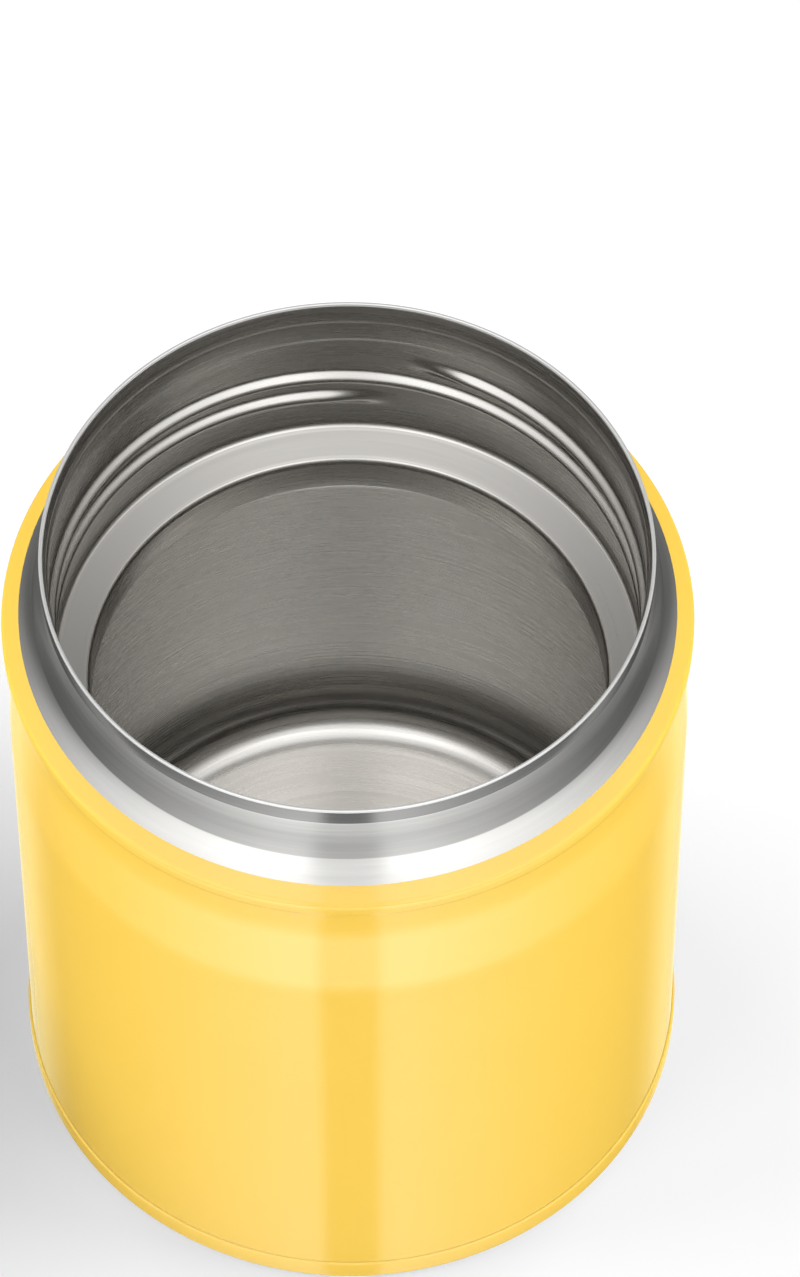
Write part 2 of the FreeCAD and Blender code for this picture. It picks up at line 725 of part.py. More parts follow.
# The vent's cap has two nubs that the cam's ramps press on.
def make_vent_cap():
    edge = "nubOffset + capMargin"
    body = turned_piece("vent_cap", [
        ("stemRadius + capFit", vent_cap_low),
        (edge, vent_cap_low, "capThick * 0.2"),
        (edge, vent_cap_high, "capThick * 0.2"),
        ("stemRadius + capFit", vent_cap_high),
    ])
    top = amount(vent_cap_high)
    nub = new_sketch(body, "nub", "XY_Plane", Placement(Vector(0, 0, top), Rotation()))
    nub.setExpression("AttachmentOffset.Base.z", bound(vent_cap_high))
    circle = Part.Circle(Vector(0, amount("nubOffset"), 0), Vector(0, 0, 1), amount("nubRadius"))
    ring = nub.addGeometry(circle)
    nub.addConstraint(Sketcher.Constraint("PointOnObject", ring, 3, -2))
    drive(nub, "DistanceY", -1, 1, ring, 3, to="nubOffset")
    drive(nub, "Radius", ring, to="nubRadius")
    pad = body.newObject("PartDesign::Pad", "vent_cap_nub_pad")
    pad.Profile = nub
    pad.setExpression("Length", bound("nubHeight"))
    repeat_round(body, pad, "2")
    return lay_aside(body)


def make_vent_spring():
    body = new_body("vent_spring")
    wire = new_sketch(body, "wire")
    radius = "stemRadius + springGap"
    start = flange_high + " + springWire"
    spot = Vector(amount(radius), amount(start), 0)
    ring = wire.addGeometry(Part.Circle(spot, Vector(0, 0, 1), amount("springWire")))
    drive(wire, "DistanceX", -1, 1, ring, 3, to=radius)
    drive(wire, "DistanceY", -1, 1, ring, 3, to=start)
    drive(wire, "Radius", ring, to="springWire")
    coil = body.newObject("PartDesign::AdditiveHelix", "vent_spring_coil")
    coil.Profile = wire
    coil.ReferenceAxis = (wire, ["V_Axis"])
    coil.Mode = "height-turns-angle"
    coil.setExpression("Height", bound("springLength - 2 * springWire"))
    coil.setExpression("Turns", bound("springTurns"))
    return lay_aside(body)


bodies = [
    make_outer_shell(),
    make_outer_bottom(),
    make_vacuum_seal(),
    make_bottom_plate(),
    make_inner_vessel(),
    make_inner_bottom(),
    make_side_foil(),
    make_bottom_foil(),
    make_getter(),
    make_getter_clip(),
    make_lid_cover(),
    make_retaining_ring(),
    make_vent_cam(),
    make_stopper(),
    make_stopper_cap(),
    make_lid_foam(),
    make_main_gasket(),
    make_vent_stem(),
    make_vent_gasket(),
    make_vent_cap(),
    make_vent_spring(),
]
doc.recompute()

for item in doc.Objects:
    if "Invalid" in item.State or "Error" in item.State:
        raise RuntimeError("%s did not recompute: %s" % (item.Name, item.State))
for body in bodies:
    if body.Shape.isNull() or not body.Shape.isValid():
        raise RuntimeError("%s has no valid shape" % body.Label)

os.makedirs("parts", exist_ok=True)
for body in bodies:
    body.Shape.exportStep("parts/%s.step" % body.Label)
    print("%-16s %8.0f mm3, %d solid" % (body.Label, body.Shape.Volume, len(body.Shape.Solids)))
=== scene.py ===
import json
import math
import bmesh
import bpy
from mathutils import Matrix, Vector

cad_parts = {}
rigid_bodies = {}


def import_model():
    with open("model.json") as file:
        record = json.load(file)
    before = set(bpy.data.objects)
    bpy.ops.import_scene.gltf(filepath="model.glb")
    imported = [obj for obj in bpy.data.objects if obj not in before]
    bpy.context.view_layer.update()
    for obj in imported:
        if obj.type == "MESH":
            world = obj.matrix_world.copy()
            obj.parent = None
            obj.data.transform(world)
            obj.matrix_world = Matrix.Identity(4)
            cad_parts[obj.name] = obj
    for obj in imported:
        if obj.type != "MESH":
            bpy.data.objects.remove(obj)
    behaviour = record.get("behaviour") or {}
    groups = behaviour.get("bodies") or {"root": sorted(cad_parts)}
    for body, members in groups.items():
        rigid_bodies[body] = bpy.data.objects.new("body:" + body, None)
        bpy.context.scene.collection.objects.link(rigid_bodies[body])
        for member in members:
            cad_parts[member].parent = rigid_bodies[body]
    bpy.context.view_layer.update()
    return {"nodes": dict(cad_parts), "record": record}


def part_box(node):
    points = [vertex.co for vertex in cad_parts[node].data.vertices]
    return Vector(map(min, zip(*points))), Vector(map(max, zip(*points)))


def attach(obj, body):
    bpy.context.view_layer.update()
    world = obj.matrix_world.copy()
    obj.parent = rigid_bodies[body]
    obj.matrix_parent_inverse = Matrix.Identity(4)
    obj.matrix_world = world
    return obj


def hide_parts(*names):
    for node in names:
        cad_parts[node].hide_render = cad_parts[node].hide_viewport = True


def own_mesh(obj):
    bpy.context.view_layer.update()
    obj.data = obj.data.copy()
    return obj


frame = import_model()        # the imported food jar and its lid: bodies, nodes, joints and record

# Insulated food jar, open, with its screw-in lid lying top down beside it.
# Sizes are in millimetres. A corner of an outline is a radius, a height and, if round, its radius.
# Lid pieces are drawn as on the closed jar and then turned over to where the lid lies.
nodes = frame["nodes"]
scene = bpy.context.scene
mm = 0.001

jar = {
    "rimTop": round(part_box("inner_vessel")[1].z / mm, 3),
    "baseRadius": -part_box("outer_bottom")[0].y / mm,
    "bodyRadius": 47.0,
    "mouthRadius": 40.7,
    "rimRadius": 41.62,
    "steps": 320,             # faces round the axis
}
lid = {
    "lies": Vector((-112.0, 6.0, 133.8)) * mm,   # turned over about X and laid here
    "steps": 288,
}


# The photograph's view: a long lens that looks down into the mouth.
camera = {
    "pitch": 56.288,          # degrees below the horizon
    "distance": 1051.47,      # to the point looked at
    "height": 94.437,         # of that point above the floor
    "aside": 7.11,            # the jar stands left of the middle
    "lens": 216.4, "sensor": 36,
    "clipStart": 50,
}


def placeCamera():
    view = bpy.data.cameras.new("photoView")
    view.lens = camera["lens"]
    view.sensor_width = camera["sensor"]
    view.clip_start = camera["clipStart"] * mm
    holder = bpy.data.objects.new("photoView", view)
    scene.collection.objects.link(holder)
    down = math.radians(camera["pitch"])
    holder.location = Vector((camera["aside"], -camera["distance"] * math.cos(down),
                              camera["height"] + camera["distance"] * math.sin(down))) * mm
    holder.rotation_euler = (math.pi / 2 - down, 0, 0)
    scene.camera = holder


placeCamera()
print("camera placed")


# Nodes are added by type, with their inputs given by name and their links as (node, output).
def addNode(tree, kind, inputs=None, **settings):
    node = tree.nodes.new(kind)
    for name, value in settings.items():
        setattr(node, name, value)
    for name, value in (inputs or {}).items():
        socket = node.inputs[name]
        if isinstance(value, tuple) and isinstance(value[0], bpy.types.Node):
            tree.links.new(value[0].outputs[value[1]], socket)
        else:
            socket.default_value = value
    return node


def calculate(tree, operation, first, second=None):
    inputs = {i: v for i, v in enumerate((first, second)) if v is not None}
    return addNode(tree, "ShaderNodeMath", inputs, operation=operation), 0


# A curve of values over a range, drawn as a grey ramp.
def graded(tree, source, stops, low, high, peak):
    spread = addNode(tree, "ShaderNodeMapRange",
                     {"Value": source, "From Min": low, "From Max": high}), "Result"
    ramp = addNode(tree, "ShaderNodeValToRGB", {"Fac": spread})
    ramp.color_ramp.interpolation = "CARDINAL"
    elements = ramp.color_ramp.elements
    while len(elements) < len(stops):
        elements.new(0.5)
    for element, (place, value) in zip(elements, stops):
        element.position = (place - low) / (high - low)
        element.color = (value / peak, value / peak, value / peak, 1)
    return calculate(tree, "MULTIPLY", (ramp, "Color"), peak)


# Rises smoothly from nothing at the first value to one at the second.
def softEdge(tree, source, first, last):
    return addNode(tree, "ShaderNodeMapRange",
                   {"Value": source, "From Min": first, "From Max": last},
                   interpolation_type="SMOOTHSTEP"), "Result"


# A soft-edged bright patch in the surroundings.
def patch(tree, around, height, strength, aroundEdge, heightEdge):
    cover = calculate(tree, "MULTIPLY", softEdge(tree, around, *aroundEdge),
                      softEdge(tree, height, *heightEdge))
    return calculate(tree, "MULTIPLY", cover, strength)


# Every finish starts from the same shader, with its fixed values set on its own sockets.
def newFinish(name, colour, roughness, **sockets):
    material = bpy.data.materials.new(name)
    material.use_nodes = True
    shader = material.node_tree.nodes["Principled BSDF"]
    shader.inputs["Base Color"].default_value = (*colour, 1)
    shader.inputs["Roughness"].default_value = roughness
    for socket, value in sockets.items():
        shader.inputs[socket.replace("_", " ")].default_value = value
    return material, material.node_tree, shader


def objectSpot(tree):
    return addNode(tree, "ShaderNodeTexCoord"), "Object"


# Soft studio: an even room for the diffuse light, and boards that only reflections see.
studio = {
    "room": 0.37,             # even light from all round
    # Strength of the boards by degrees round from the front and by degrees up.
    "aroundBoards": [(0, 1.0), (19, 1.0), (30, 0.86), (45, 0.66), (60, 0.47), (80, 0.27),
                     (100, 0.17), (120, 0.14), (140, 0.18), (160, 0.2), (180, 0.22)],
    "heightBoards": [(-90, 0.7), (-60, 0.95), (-56.5, 1.05), (-53.5, 1.85), (-50, 2.25),
                     (-46, 1.5), (-41, 1.05), (-28, 1.07), (-12, 1.7), (5, 1.9), (30, 1.7),
                     (50, 1.9), (64, 2.15), (72, 1.9), (82, 1.1), (90, 0.9)],
    "brightest": 6.0,         # above the strongest board
    # The boards get wider with height: what the degrees round are multiplied by.
    "widening": [(-90, 1.35), (-60, 1.35), (-57, 1.02), (-52, 1.0), (-30, 1.0), (-14, 0.88),
                 (-4, 0.78), (12, 0.72), (30, 0.6), (60, 0.6), (90, 0.6)],
    # Pale wall and warm floor behind the jar, which its sides mirror: strength, and the
    # degrees round and up over which each comes in.
    "rearWall": (0.4, (160, 180), (30, 5)),
    "rearFloor": (0.66, (118, 152), (-48, -54)),
    "floorTint": (1.0, 0.88, 0.42, 1),
    # Darker gap between the boards in the middle: degrees to each side, and what it lets through.
    "gapWidth": 10.0,
    "gapEdge": 3.0,
    "gapDepth": [(-90, 0.3), (-60, 0.3), (-56, 0.36), (-52, 0.66), (-48, 0.72), (-38, 0.78),
                 (-27, 0.6), (-14, 0.6), (5, 0.62), (50, 0.7), (64, 0.62), (90, 0.9)],
}


def lightRoom():
    world = bpy.data.worlds.new("studioRoom")
    scene.world = world
    world.use_nodes = True
    tree = world.node_tree
    tree.nodes.clear()
    direction = addNode(tree, "ShaderNodeTexCoord"), "Generated"
    split = addNode(tree, "ShaderNodeSeparateXYZ", {0: direction})
    towards = calculate(tree, "MULTIPLY", (split, "Y"), -1.0)
    turned = calculate(tree, "ARCTAN2", (split, "X"), towards)
    around = calculate(tree, "ABSOLUTE", calculate(tree, "DEGREES", turned))
    height = calculate(tree, "DEGREES", calculate(tree, "ARCSINE", (split, "Z")))
    widened = calculate(tree, "MULTIPLY", around,
                        graded(tree, height, studio["widening"], -90, 90, 1.0))
    boards = calculate(tree, "MULTIPLY",
                       graded(tree, widened, studio["aroundBoards"], 0, 180, 1.0),
                       graded(tree, height, studio["heightBoards"], -90, 90, studio["brightest"]))
    boards = calculate(tree, "ADD", boards, patch(tree, around, height, *studio["rearWall"]))
    inGap = softEdge(tree, around, studio["gapWidth"] + studio["gapEdge"],
                     studio["gapWidth"] - studio["gapEdge"])
    depth = graded(tree, height, studio["gapDepth"], -90, 90, 1.0)
    shade = calculate(tree, "MULTIPLY", inGap, calculate(tree, "SUBTRACT", 1.0, depth))
    seen = calculate(tree, "MULTIPLY", boards, calculate(tree, "SUBTRACT", 1.0, shade))
    path = addNode(tree, "ShaderNodeLightPath")
    glossy = addNode(tree, "ShaderNodeMix", {"Factor": (path, "Is Glossy Ray"),
                                             "A": studio["room"], "B": seen}, data_type="FLOAT")
    strength = addNode(tree, "ShaderNodeMix", {"Factor": (path, "Is Camera Ray"),
                                               "A": (glossy, 0), "B": 1.0}, data_type="FLOAT")
    background = addNode(tree, "ShaderNodeBackground",
                         {"Color": (1, 1, 1, 1), "Strength": (strength, 0)})
    warm = calculate(tree, "MULTIPLY", patch(tree, around, height, *studio["rearFloor"]),
                     (path, "Is Glossy Ray"))
    floorGlow = addNode(tree, "ShaderNodeBackground",
                        {"Color": studio["floorTint"], "Strength": warm})
    both = addNode(tree, "ShaderNodeAddShader", {0: (background, 0), 1: (floorGlow, 0)})
    addNode(tree, "ShaderNodeOutputWorld", {"Surface": (both, 0)})


# Soft lamps stand round the jar in pairs, left and right. They light, but don't show in the gloss.
lamps = {
    "side": {"spot": (820, 0, 520), "size": 600, "power": 4.1},
    "back": {"spot": (560, 470, 600), "size": 500, "power": 2.2},
    "front": {"spot": (700, -700, 250), "size": 500, "power": 2.8},
}
lampsFace = Vector((0, 0, 50)) * mm


def hangLamp(name, spot, size, power):
    for side, sign in (("Left", -1), ("Right", 1)):
        light = bpy.data.lights.new(name + side, "AREA")
        light.shape = "SQUARE"
        light.size = size * mm
        light.energy = power
        holder = bpy.data.objects.new(name + side, light)
        scene.collection.objects.link(holder)
        holder.location = Vector((sign * spot[0], spot[1], spot[2])) * mm
        facing = lampsFace - holder.location
        holder.rotation_euler = facing.to_track_quat("-Z", "Y").to_euler()
        holder.visible_glossy = False


floor = {
    "size": 800,              # from the middle to an edge
    "under": 0.05,            # just below the feet, so that they don't flicker with it
    "colour": (0.97, 0.97, 0.97), "roughness": 0.9,
    "fade": (240, 420),       # distance from the jar over which it turns plain white
}


def layFloor():
    bm = bmesh.new()
    bmesh.ops.create_grid(bm, x_segments=1, y_segments=1, size=floor["size"] * mm)
    bmesh.ops.translate(bm, vec=(0, 0, -floor["under"] * mm), verts=bm.verts[:])
    mesh = bpy.data.meshes.new("paleFloor")
    bm.to_mesh(mesh)
    bm.free()
    board = bpy.data.objects.new("paleFloor", mesh)
    scene.collection.objects.link(board)
    board.visible_glossy = False
    paper, tree, shader = newFinish("palePaper", floor["colour"], floor["roughness"],
                                    Specular_IOR_Level=0.0)
    # Past the shadows the camera sees the paper fade into the white of the room.
    away = addNode(tree, "ShaderNodeVectorMath", {0: objectSpot(tree)}, operation="LENGTH"), "Value"
    fade = softEdge(tree, away, *(edge * mm for edge in floor["fade"]))
    path = addNode(tree, "ShaderNodeLightPath")
    white = addNode(tree, "ShaderNodeEmission", {"Color": (1, 1, 1, 1), "Strength": 1.0})
    faded = addNode(tree, "ShaderNodeMixShader", {
        "Fac": calculate(tree, "MULTIPLY", fade, (path, "Is Camera Ray")),
        1: (shader, "BSDF"), 2: (white, "Emission"),
    })
    tree.links.new(faded.outputs[0], tree.nodes["Material Output"].inputs["Surface"])
    mesh.materials.append(paper)


lightRoom()
for lampName, lamp in lamps.items():
    hangLamp(lampName, **lamp)
layFloor()
scene.view_settings.view_transform = "Standard"
print("studio lit")


# Fine relief in a finish. Its depth is in millimetres, but the scale of every noise is per metre.
def addBump(tree, shader, height, depth):
    bump = addNode(tree, "ShaderNodeBump", {"Height": height, "Distance": depth * mm})
    tree.links.new(bump.outputs["Normal"], shader.inputs["Normal"])


# Lets the colour run between two tints.
def addTints(tree, shader, pattern, first, second):
    tint = addNode(tree, "ShaderNodeMix", {"Factor": pattern, 6: (*first, 1), 7: (*second, 1)},
                   data_type="RGBA")
    tree.links.new(tint.outputs[2], shader.inputs["Base Color"])


# Lets the roughness run between two shares of its value.
def addRoughness(tree, shader, pattern, roughness, shares, low=0.0, high=1.0):
    rough = addNode(tree, "ShaderNodeMapRange", {
        "Value": pattern, "From Min": low, "From Max": high,
        "To Min": roughness * shares[0], "To Max": roughness * shares[1],
    })
    tree.links.new(rough.outputs[0], shader.inputs["Roughness"])


paintFinish = {
    "colour": (0.97, 0.63, 0.07), "shade": (0.96, 0.615, 0.064), "clouds": 60.0,
    "roughness": 0.1, "gloss": 1.8,
    "peel": 900.0, "peelDepth": 0.0006,
}


# Glossy enamel with the faint unevenness of sprayed paint.
def makePaint():
    material, tree, shader = newFinish("yellowEnamel", paintFinish["colour"],
                                       paintFinish["roughness"], IOR=paintFinish["gloss"])
    spot = objectSpot(tree)
    cloud = addNode(tree, "ShaderNodeTexNoise",
                    {"Vector": spot, "Scale": paintFinish["clouds"], "Detail": 2.0})
    addTints(tree, shader, (cloud, "Fac"), paintFinish["shade"], paintFinish["colour"])
    peel = addNode(tree, "ShaderNodeTexNoise",
                   {"Vector": spot, "Scale": paintFinish["peel"], "Detail": 1.0})
    addBump(tree, shader, (peel, "Fac"), paintFinish["peelDepth"])
    return material


# The same brushed steel four ways: the neck; the band over it, made darker as painted shade;
# the duller inside; and the ledge, made darker as painted shade. Depth is that of the brushed lines,
# and tone is how far they vary the colour.
steelFinish = {
    "grooves": 1500.0,        # brushed lines, per metre of height and radius
    "runs": 30.0,             # how soon a line ends on its way round
    "anisotropy": 0.35,
    "shine": (0.85, 1.2),     # shares of the roughness that the lines run between
    "contrast": (0.3, 0.7),   # part of the noise that they follow
    "neck": {"name": "brushedSteel", "colour": (0.60, 0.595, 0.58), "roughness": 0.15,
             "depth": 0.005, "tone": 0.1},
    # Painted shade: the band is the neck's own steel, given a darker colour.
    "band": {"name": "bandShadeSteel", "colour": (0.44, 0.437, 0.43), "roughness": 0.13,
             "depth": 0.005, "tone": 0.1},
    "inside": {"name": "insideSteel", "colour": (0.65, 0.635, 0.61), "roughness": 0.27,
               "depth": 0.0006, "tone": 0.03},
    # Painted shade: the ledge is the inside's own steel, given a darker colour.
    "ledge": {"name": "ledgeShadeSteel", "colour": (0.42, 0.408, 0.39), "roughness": 0.32,
              "depth": 0.0006, "tone": 0.02},
}


# Steel brushed round the axis: noise stretched into long fine lines.
def makeBrushedSteel(name, colour, roughness, depth, tone):
    material, tree, shader = newFinish(name, colour, roughness, Metallic=1.0,
                                       Anisotropic=steelFinish["anisotropy"])
    split = addNode(tree, "ShaderNodeSeparateXYZ", {0: objectSpot(tree)})
    flat = addNode(tree, "ShaderNodeCombineXYZ", {"X": (split, "X"), "Y": (split, "Y")})
    radius = addNode(tree, "ShaderNodeVectorMath", {0: (flat, 0)}, operation="LENGTH"), "Value"
    climb = calculate(tree, "ADD", (split, "Z"), radius)
    across = calculate(tree, "MULTIPLY", climb, steelFinish["grooves"])
    runX = calculate(tree, "MULTIPLY", (split, "X"), steelFinish["runs"])
    runY = calculate(tree, "MULTIPLY", (split, "Y"), steelFinish["runs"])
    lines = addNode(tree, "ShaderNodeCombineXYZ", {"X": runX, "Y": runY, "Z": across})
    brush = addNode(tree, "ShaderNodeTexNoise", {"Vector": (lines, 0), "Scale": 1.0,
                                                 "Detail": 3.0, "Roughness": 0.6})
    addBump(tree, shader, (brush, "Fac"), depth)
    addTints(tree, shader, (brush, "Fac"), [c * (1 - tone) for c in colour],
             [c * (1 + tone) for c in colour])
    addRoughness(tree, shader, (brush, "Fac"), roughness, steelFinish["shine"],
                 *steelFinish["contrast"])
    circling = addNode(tree, "ShaderNodeTangent", direction_type="RADIAL", axis="Z")
    tree.links.new(circling.outputs[0], shader.inputs["Tangent"])
    return material


# The lip is matt, and paler than the rest as a painted highlight.
lipHighlightFinish = {
    "colour": (0.74, 0.74, 0.73), "roughness": 0.33, "metallic": 0.6,
    "grain": 2200.0, "depth": 0.002,
}


def makeLipHighlightSteel():
    material, tree, shader = newFinish("lipHighlightSteel", lipHighlightFinish["colour"], lipHighlightFinish["roughness"],
                                       Metallic=lipHighlightFinish["metallic"])
    grain = addNode(tree, "ShaderNodeTexNoise",
                    {"Vector": objectSpot(tree), "Scale": lipHighlightFinish["grain"]})
    addBump(tree, shader, (grain, "Fac"), lipHighlightFinish["depth"])
    return material


# Moulded pieces, and the foam, by slot.
plastics = {
    "grey_plastic": {"name": "greyPlastic", "colour": (0.16, 0.16, 0.165), "roughness": 0.5,
                     "grain": 2500.0, "depth": 0.02},
    "yellow_plastic": {"name": "yellowPlastic", "colour": (0.9, 0.545, 0.05), "roughness": 0.32,
                       "grain": 1800.0, "depth": 0.004},
    "cream_plastic": {"name": "creamPlastic", "colour": (0.62, 0.60, 0.545), "roughness": 0.4,
                      "grain": 1800.0, "depth": 0.005},
    "foam": {"name": "whiteFoam", "colour": (0.85, 0.85, 0.85), "roughness": 0.95,
             "grain": 900.0, "depth": 0.2},
    "silicone": {"name": "greySilicone", "colour": (0.34, 0.34, 0.335), "roughness": 0.55,
                 "grain": 1200.0, "depth": 0.006, "Sheen_Weight": 0.15},
}
plasticPatches = {"size": 35.0, "tone": 0.96}    # broad patches that are a little darker


def makePlastic(name, colour, roughness, grain, depth, **sockets):
    material, tree, shader = newFinish(name, colour, roughness, **sockets)
    spot = objectSpot(tree)
    fine = addNode(tree, "ShaderNodeTexNoise", {"Vector": spot, "Scale": grain, "Detail": 2.0})
    addBump(tree, shader, (fine, "Fac"), depth)
    broad = addNode(tree, "ShaderNodeTexNoise", {"Vector": spot, "Scale": plasticPatches["size"]})
    addTints(tree, shader, (broad, "Fac"), [c * plasticPatches["tone"] for c in colour], colour)
    return material


# Small metal pieces, by slot. Their gloss is a little cloudy.
cloudyShine = (0.7, 1.3)
metals = {
    "plain_steel": {"name": "plainSteel", "colour": (0.55, 0.55, 0.54), "roughness": 0.35,
                    "clouds": 300.0},
    "hard_solder": {"name": "hardSolder", "colour": (0.45, 0.42, 0.38), "roughness": 0.3,
                    "clouds": 700.0},
    "foil": {"name": "crinkledFoil", "colour": (0.8, 0.8, 0.8), "roughness": 0.2,
             "clouds": 500.0},
    "getter_alloy": {"name": "getterAlloy", "colour": (0.12, 0.12, 0.12), "roughness": 0.7,
                     "clouds": 1500.0},
    "spring_steel": {"name": "springSteel", "colour": (0.6, 0.6, 0.6), "roughness": 0.2,
                     "clouds": 900.0},
}


def makeMetal(name, colour, roughness, clouds):
    material, tree, shader = newFinish(name, colour, roughness, Metallic=1.0)
    cloud = addNode(tree, "ShaderNodeTexNoise",
                    {"Vector": objectSpot(tree), "Scale": clouds, "Detail": 3.0})
    addRoughness(tree, shader, (cloud, "Fac"), roughness, cloudyShine)
    return material


finishes = {
    "yellow_paint": makePaint(),
    "brushed_steel": makeBrushedSteel(**steelFinish["neck"]),
    "band_shade_steel": makeBrushedSteel(**steelFinish["band"]),
    "inside_steel": makeBrushedSteel(**steelFinish["inside"]),
    "ledge_shade_steel": makeBrushedSteel(**steelFinish["ledge"]),
    "lip_highlight_steel": makeLipHighlightSteel(),
}
for plasticSlot, plastic in plastics.items():
    finishes[plasticSlot] = makePlastic(**plastic)
for metalSlot, metal in metals.items():
    finishes[metalSlot] = makeMetal(**metal)
print("finishes mixed")


rounding = {"perRadian": 6, "least": 4}          # faces along a rounded corner
sharpEdge = 38                # degrees past which an edge is shaded sharp


# A turned piece starts as a flat outline. Its corners are rounded one by one.
def drawOutline(corners):
    bm = bmesh.new()
    for corner in corners:
        bm.verts.new((corner[0] * mm, 0, corner[1] * mm))
    bm.faces.new(bm.verts[:])
    for i, corner in enumerate(corners):
        if len(corner) < 3:
            continue
        here = Vector((corner[0], 0, corner[1]))
        last, following = corners[i - 1], corners[(i + 1) % len(corners)]
        back = Vector((last[0], 0, last[1])) - here
        ahead = Vector((following[0], 0, following[1])) - here
        half = back.angle(ahead) / 2
        faces = max(rounding["least"], round((math.pi - 2 * half) * rounding["perRadian"]))
        spot = min(bm.verts, key=lambda v: (v.co - here * mm).length)
        bmesh.ops.bevel(bm, geom=[spot], offset=corner[2] * mm / math.tan(half),
                        offset_type="OFFSET", segments=faces, profile=0.5,
                        affect="VERTICES", material=-1)
    return bm


# Cuts the outline's straight run between two corners into short steps.
def divideRun(bm, low, high, cuts):
    ends = [Vector((r * mm, 0, z * mm)) for r, z in (low, high)]
    run = min(bm.edges, key=lambda e: sum(min((v.co - end).length for v in e.verts)
                                          for end in ends))
    bmesh.ops.subdivide_edges(bm, edges=[run], cuts=cuts)


# Blender's spin orders its points and faces anew each run. Sorted by place, they stay the same.
def sortByPlace(items, place):
    for i, item in enumerate(sorted(items, key=lambda item: tuple(place(item)))):
        item.index = i
    items.sort()


# The outline's edges are spun a sixteenth of the way, and that sector is doubled four times,
# which is much quicker than one full spin. What lies on the axis is left out first.
def spinOutline(bm, steps):
    bmesh.ops.delete(bm, geom=bm.faces[:], context="FACES_KEEP_BOUNDARY")
    onAxis = [e for e in bm.edges if all(abs(v.co.x) < 1e-7 for v in e.verts)]
    bmesh.ops.delete(bm, geom=onAxis, context="EDGES")
    turn = math.tau / 16
    bmesh.ops.spin(bm, geom=bm.verts[:] + bm.edges[:], cent=(0, 0, 0), axis=(0, 0, 1),
                   dvec=(0, 0, 0), angle=turn, steps=steps // 16)
    sortByPlace(bm.verts, lambda vert: vert.co)
    sortByPlace(bm.faces, lambda face: face.calc_center_median())
    for doubling in range(4):
        copied = bmesh.ops.duplicate(bm, geom=bm.verts[:] + bm.edges[:] + bm.faces[:])["geom"]
        bmesh.ops.rotate(bm, cent=(0, 0, 0), matrix=Matrix.Rotation(turn * 2 ** doubling, 3, "Z"),
                         verts=[item for item in copied if isinstance(item, bmesh.types.BMVert)])
    bmesh.ops.remove_doubles(bm, verts=bm.verts[:], dist=1e-6)
    bmesh.ops.recalc_face_normals(bm, faces=bm.faces[:])


# Turns a lid piece over, from where it sits on the closed jar to where the lid lies.
def layAside(bm):
    over = Matrix.Translation(lid["lies"]) @ Matrix.Rotation(math.pi, 4, "X")
    bmesh.ops.transform(bm, matrix=over, verts=bm.verts[:])


def finishPiece(bm, name, body, slotName, replaced=(), finish=None):
    mesh = bpy.data.meshes.new(name)
    bm.to_mesh(mesh)
    bm.free()
    mesh.materials.append(finishes[finish or slotName])
    mesh.shade_smooth()
    piece = bpy.data.objects.new(name, mesh)
    scene.collection.objects.link(piece)
    mesh.set_sharp_from_angle(angle=math.radians(sharpEdge))
    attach(piece, body)
    if replaced:
        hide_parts(*replaced)
    return piece


def turnedPiece(name, corners, body, slotName, replaced=(), finish=None):
    bm = drawOutline(corners)
    spinOutline(bm, jar["steps"])
    return finishPiece(bm, name, body, slotName, replaced, finish)


# The band, the lip and the ledge are recoloured after the walls are drawn: faces whose middle lies
# within a range of radius and height get another finish: painted shade on the band and the ledge, and
# a painted highlight on the lip.
def recolourFaces(piece, radii, heights, finish):
    piece.data.materials.append(finishes[finish])
    for face in piece.data.polygons:
        middle = face.center / mm
        if (radii[0] < middle.xy.length < radii[1]) and (heights[0] < middle.z < heights[1]):
            face.material_index = len(piece.data.materials) - 1


# The outer wall is one drawn steel shell. The coat lies on it up to the paint's edge.
shell = {
    "wall": 0.4,
    "coat": 0.07, "coatGap": 0.005,              # the coat's thickness, and what keeps it off
    "low": 1.0,                                  # where it starts in the base cap
    "bodyTop": 78.5, "waistRadius": 46.25, "waistLow": 92.5, "waistHigh": 97.8,
    "waistRound": 70,
    "beadRadius": 47.24, "beadLow": 98.5, "beadHigh": 101.1, "beadRound": 0.9,
    "edgeRadius": 44.87, "paintEdge": 102.45,
    "footRadius": 42.9, "footHeight": 106.0, "footRound": 0.9, "footDrop": 0.24,
    "neckRadius": 42.0, "neckHeight": 109.4, "neckRound": 20,
    "bandLow": 112.6, "bandLean": 0.07, "bandRound": 0.9,
    # The band's darker steel is painted shade.
    "bandReach": 0.6,                            # how far in from the neck the band is worked
}


# The side of the wall, up to the paint's edge, drawn in by a number of millimetres. Corners on
# the bead's slopes move along with it, so that the wall keeps its thickness.
def wallSide(inset):
    return [
        (jar["bodyRadius"] - inset, shell["low"]),
        (jar["bodyRadius"] - inset, shell["bodyTop"], shell["waistRound"]),
        (shell["waistRadius"] - inset, shell["waistLow"], shell["waistRound"]),
        (shell["waistRadius"] - inset, shell["waistHigh"] + inset * 0.5, shell["beadRound"]),
        (shell["beadRadius"] - inset, shell["beadLow"] + inset * 0.5, shell["beadRound"]),
        (shell["beadRadius"] - inset, shell["beadHigh"] - inset * 0.6, shell["beadRound"]),
        (shell["edgeRadius"] - inset * 0.5, shell["paintEdge"] - inset * 0.87),
    ]


